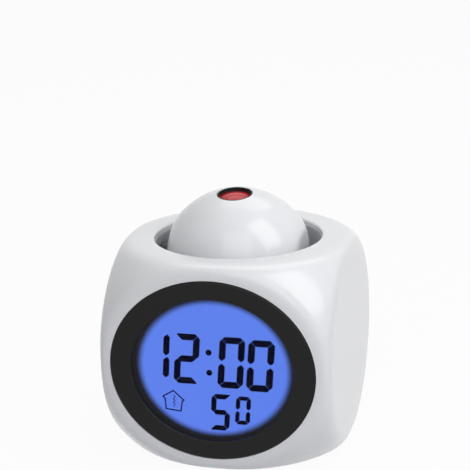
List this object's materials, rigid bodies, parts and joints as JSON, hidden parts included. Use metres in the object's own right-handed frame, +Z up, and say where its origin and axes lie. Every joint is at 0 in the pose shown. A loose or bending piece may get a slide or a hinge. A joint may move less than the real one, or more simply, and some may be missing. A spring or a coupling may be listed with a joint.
{
  "type": "projection alarm clock",
  "caption": "White cube-shaped alarm clock with rounded corners, an oval blue display in a black ring and a tilting ball-shaped projector head in a well on top.",
  "frame": {"origin": "on the table under the middle of the clock", "axes": "+Z up, -Y towards the display, +X to the right seen from the front"},
  "size_m": [0.084, 0.0846, 0.0944],
  "materials": {
    "white_gloss": "glossy",
    "white_plastic": "satin",
    "white_matte": "matt",
    "inner_plastic": "matt",
    "black_matte": "satin",
    "black_component": "matt",
    "black_rubber": "matt",
    "foot_rubber": "matt",
    "clear_window": "clear",
    "blue_display": "lit blue",
    "light_guide": "satin",
    "dark_glass": "smooth",
    "red_glass": "clear red",
    "green_board": "lacquered",
    "spring_steel": "plain",
    "screw_steel": "plated",
    "speaker_metal": "satin",
    "cell_wrap": "satin"
  },
  "bodies": {
    "housing": {"main_housing": "white_gloss", "rear_cover": "white_plastic", "base_cover": "white_plastic", "bezel_ring": "black_matte", "display_window": "clear_window", "lcd_glass": "blue_display", "backlight_panel": "light_guide", "lcd_frame": "inner_plastic", "lcd_connector": "black_rubber", "main_board": "green_board", "board_components": "black_component", "well_liner": "white_matte", "press_spring": "spring_steel", "press_switch": "black_component", "press_board": "green_board", "left_contacts": "spring_steel", "right_contacts": "spring_steel", "button_switches": "black_component", "button_board": "green_board", "slide_switch": "spring_steel", "speaker": "speaker_metal", "speaker_cone": "black_rubber", "frame_screws": "screw_steel", "board_screws": "screw_steel", "rear_screws": "screw_steel", "base_screws": "screw_steel", "small_board_screws": "screw_steel", "battery_cell_1": "cell_wrap", "battery_cell_2": "cell_wrap", "battery_cell_3": "cell_wrap", "foot_front_left": "foot_rubber", "foot_front_right": "foot_rubber", "foot_rear_left": "foot_rubber", "foot_rear_right": "foot_rubber"},
    "yoke": {"head_yoke": "white_matte", "stem_clip": "spring_steel"},
    "head": {"head_upper_shell": "white_gloss", "head_lower_shell": "white_gloss", "left_trunnion_pin": "white_matte", "right_trunnion_pin": "white_matte", "lens_ring": "black_matte", "projection_lens": "red_glass", "lens_barrel": "black_matte", "picture_film": "dark_glass", "light_tunnel": "black_matte", "condenser_lens": "clear_window", "red_led": "red_glass", "led_board": "green_board", "head_screws": "screw_steel"},
    "battery_door": {"battery_door": "white_plastic"},
    "projector_knob": {"slide_knob": "black_matte"},
    "button_1": {"rear_button_1": "white_plastic"},
    "button_2": {"rear_button_2": "white_plastic"},
    "button_3": {"rear_button_3": "white_plastic"},
    "button_4": {"rear_button_4": "white_plastic"}
  },
  "joints": [
    {"name": "head_press", "type": "slide", "parent": "housing", "child": "yoke", "axis": [0, 0, -1], "range_m": [0, 0.0015], "stiffness_N_per_m": 1200, "springref_m": -0.001, "deforming": ["press_spring"]},
    {"name": "head_tilt", "type": "hinge", "parent": "yoke", "child": "head", "pos_m": [0, 0, 0.068], "axis": [1, 0, 0], "range_deg": [-58, 42]},
    {"name": "battery_door_hinge", "type": "hinge", "parent": "housing", "child": "battery_door", "pos_m": [0, 0.04088, 0.02247], "axis": [-1, 0, 0], "range_deg": [0, 80]},
    {"name": "projector_slide", "type": "slide", "parent": "housing", "child": "projector_knob", "axis": [1, 0, 0], "range_m": [0, 0.0032]},
    {"name": "button_1_press", "type": "slide", "parent": "housing", "child": "button_1", "axis": [0, -1, 0], "range_m": [0, 0.0007], "stiffness_N_per_m": 400, "springref_m": -0.0007},
    {"name": "button_2_press", "type": "slide", "parent": "housing", "child": "button_2", "axis": [0, -1, 0], "range_m": [0, 0.0007], "stiffness_N_per_m": 400, "springref_m": -0.0007},
    {"name": "button_3_press", "type": "slide", "parent": "housing", "child": "button_3", "axis": [0, -1, 0], "range_m": [0, 0.0007], "stiffness_N_per_m": 400, "springref_m": -0.0007},
    {"name": "button_4_press", "type": "slide", "parent": "housing", "child": "button_4", "axis": [0, -1, 0], "range_m": [0, 0.0007], "stiffness_N_per_m": 400, "springref_m": -0.0007}
  ]
}
